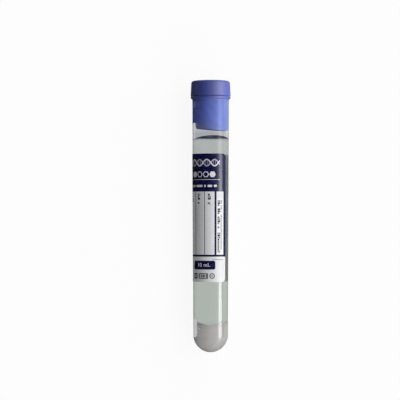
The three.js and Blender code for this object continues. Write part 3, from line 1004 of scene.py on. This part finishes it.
ink_tree.links.new(ink_gloss, ink_shader.inputs["Roughness"])
figures = wrap("volume_figures", flat_text, ink_white, INK_THICKNESS, LABEL_GAP + LABEL_THICKNESS)
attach(figures, "tube")


# ------------------------------------------------------------------ the floor, light and camera
# A plain pale floor, long soft lights along the tube on its right, a weak fill from all round, and a
# strip lamp that shows only in glosses. The camera looks down, tilted a little along the tube.

FLOOR_SIZE = 3.0
FLOOR_TONE = 0.85
FLOOR_PLAIN = 0.92
# As seen in glosses the floor is painted dark on its left and less dark on its right: painted shade.
FLOOR_GLOSS_SHADE_LEFT = 0.05
FLOOR_GLOSS_SHADE_RIGHT = 0.6
FLOOR_GLOSS_SHADE_RIGHT_FROM = 0.02
THROUGH_FLOOR = 0.685
THROUGH_SKY = 0.8
WORLD_FILL = 0.10
GLOSS_FILL = 0.02
# Each long light has its angle from straight up, its strength, and how narrow it is.
KEY_LIGHT = (math.radians(38), 3.42, 24.0)
SIDE_LIGHT = (math.radians(68), 1.0, 12.0)
LEFT_LIGHT = (math.radians(-62), 0.03, 2.0)
GLOSS_LIGHT = (math.radians(62), 2.5, 24.0)


def unscattered(tree, path, kind):
    """A kind of ray, as long as no matte surface has scattered it yet."""
    return calc(tree, "MULTIPLY", kind, calc(tree, "LESS_THAN", path.outputs["Diffuse Depth"], 0.5))


def plain_view(tree, through):
    """1 for the camera's own rays, and a given share for those that come through something clear."""
    path = put(tree, "ShaderNodeLightPath")
    clear = calc(tree, "MULTIPLY", path.outputs["Is Transmission Ray"], through)
    return unscattered(tree, path, calc(tree, "MAXIMUM", path.outputs["Is Camera Ray"], clear))


def mirrored(tree):
    """1 for rays that the camera sees in a gloss."""
    path = put(tree, "ShaderNodeLightPath")
    return unscattered(tree, path, path.outputs["Is Glossy Ray"])


def grey(tone):
    """A colour without hue."""
    return tone, tone, tone, 1


floor_mesh = bpy.data.meshes.new("floor")
half = FLOOR_SIZE / 2
floor_corners = [(-half, -half, 0), (half, -half, 0), (half, half, 0), (-half, half, 0)]
floor_mesh.from_pydata(floor_corners, [], [(0, 1, 2, 3)])
floor = bpy.data.objects.new("floor", floor_mesh)
bpy.context.scene.collection.objects.link(floor)
floor_paint, floor_tree, floor_shader = new_finish("pale_floor")
# Painted shade: in glosses the floor turns dark left of the tube and grey to its right.
lamp_side = ramp(floor_tree, coordinate(floor_tree, "X"), 0.0, FLOOR_GLOSS_SHADE_RIGHT_FROM)
shown = blended(floor_tree, lamp_side, grey(FLOOR_GLOSS_SHADE_LEFT), grey(FLOOR_GLOSS_SHADE_RIGHT))
floor_colour = blended(floor_tree, mirrored(floor_tree), grey(FLOOR_TONE), shown)
floor_tree.links.new(floor_colour, floor_shader.inputs["Base Color"])
set_plain(floor_shader, {"Roughness": 1, "Specular IOR Level": 0})
glow = put(floor_tree, "ShaderNodeEmission", {"Strength": 1.0})
share = calc(floor_tree, "MULTIPLY", plain_view(floor_tree, THROUGH_FLOOR), FLOOR_PLAIN)
inputs = {0: share, 1: floor_shader.outputs[0], 2: glow.outputs[0]}
floor_mix = put(floor_tree, "ShaderNodeMixShader", inputs)
floor_tree.links.new(floor_mix.outputs[0], floor_tree.nodes["Material Output"].inputs["Surface"])
floor_mesh.materials.append(floor_paint)

world = bpy.data.worlds.new("studio")
bpy.context.scene.world = world
world.use_nodes = True
world_tree = world.node_tree
direction = put(world_tree, "ShaderNodeTexCoord").outputs["Generated"]
inputs = {0: direction, 1: (1, 0, 1)}
across_tube = put(world_tree, "ShaderNodeVectorMath", inputs, operation="MULTIPLY").outputs[0]
inputs = {0: across_tube}
flat_direction = put(world_tree, "ShaderNodeVectorMath", inputs, operation="NORMALIZE").outputs[0]


def soft_box(angle, strength, narrowness):
    """A long soft light in the surroundings, along the tube, at an angle from straight up."""
    toward = (math.sin(angle), 0, math.cos(angle))
    inputs = {0: flat_direction, 1: toward}
    facing = put(world_tree, "ShaderNodeVectorMath", inputs, operation="DOT_PRODUCT").outputs["Value"]
    lobe = calc(world_tree, "POWER", calc(world_tree, "MAXIMUM", facing, 0), narrowness)
    return calc(world_tree, "MULTIPLY", lobe, strength)


lit = calc(world_tree, "ADD", soft_box(*KEY_LIGHT), soft_box(*LEFT_LIGHT))
lit = calc(world_tree, "ADD", lit, soft_box(*SIDE_LIGHT))
lit = calc(world_tree, "ADD", lit, WORLD_FILL)
glossed = calc(world_tree, "ADD", soft_box(*GLOSS_LIGHT), GLOSS_FILL)
in_gloss = mirrored(world_tree)
lit = calc(world_tree, "MULTIPLY", lit, calc(world_tree, "SUBTRACT", 1.0, in_gloss))
lit = calc(world_tree, "MULTIPLY_ADD", glossed, in_gloss, lit)
unseen = calc(world_tree, "SUBTRACT", 1.0, plain_view(world_tree, 1.0))
strength = calc(world_tree, "MULTIPLY_ADD", lit, unseen, plain_view(world_tree, THROUGH_SKY))
background = world_tree.nodes["Background"]
background.inputs["Color"].default_value = grey(1)
world_tree.links.new(strength, background.inputs["Strength"])

STRIP_WIDTH = 0.20
STRIP_LENGTH = 0.24
STRIP_POWER = 1.14
STRIP_ANGLE = math.radians(66)
STRIP_DISTANCE = 0.5
STRIP_SHIFT = -0.0835
middle = (cad_low + cad_high) / 2
strip = bpy.data.lights.new("strip_lamp", "AREA")
strip.shape = "RECTANGLE"
strip.size = STRIP_WIDTH
strip.size_y = STRIP_LENGTH
strip.energy = STRIP_POWER
strip_object = bpy.data.objects.new("strip_lamp", strip)
bpy.context.scene.collection.objects.link(strip_object)
strip_side = Vector((math.sin(STRIP_ANGLE), 0, math.cos(STRIP_ANGLE)))
strip_object.location = middle + strip_side * STRIP_DISTANCE + Vector((0, STRIP_SHIFT, 0))
strip_object.rotation_euler = (0, STRIP_ANGLE, 0)
strip_object.visible_transmission = False
strip_object.visible_diffuse = False

VIEW_WIDTH = 0.1804
VIEW_ACROSS = -0.0048
VIEW_MIDDLE = 0.00739
CAMERA_TILT = math.radians(1.3)
CAMERA_DISTANCE = 0.8
SENSOR = 36.0
camera = bpy.data.cameras.new("camera")
camera.sensor_width = SENSOR
camera.lens = SENSOR * CAMERA_DISTANCE / VIEW_WIDTH
camera_object = bpy.data.objects.new("camera", camera)
bpy.context.scene.collection.objects.link(camera_object)
sight = Vector((0, math.sin(CAMERA_TILT), -math.cos(CAMERA_TILT)))
camera_object.location = middle + Vector((VIEW_ACROSS, VIEW_MIDDLE, 0)) - sight * CAMERA_DISTANCE
camera_object.rotation_euler = (CAMERA_TILT, 0, 0)
bpy.context.scene.camera = camera_object
bpy.context.scene.view_settings.view_transform = "Standard"
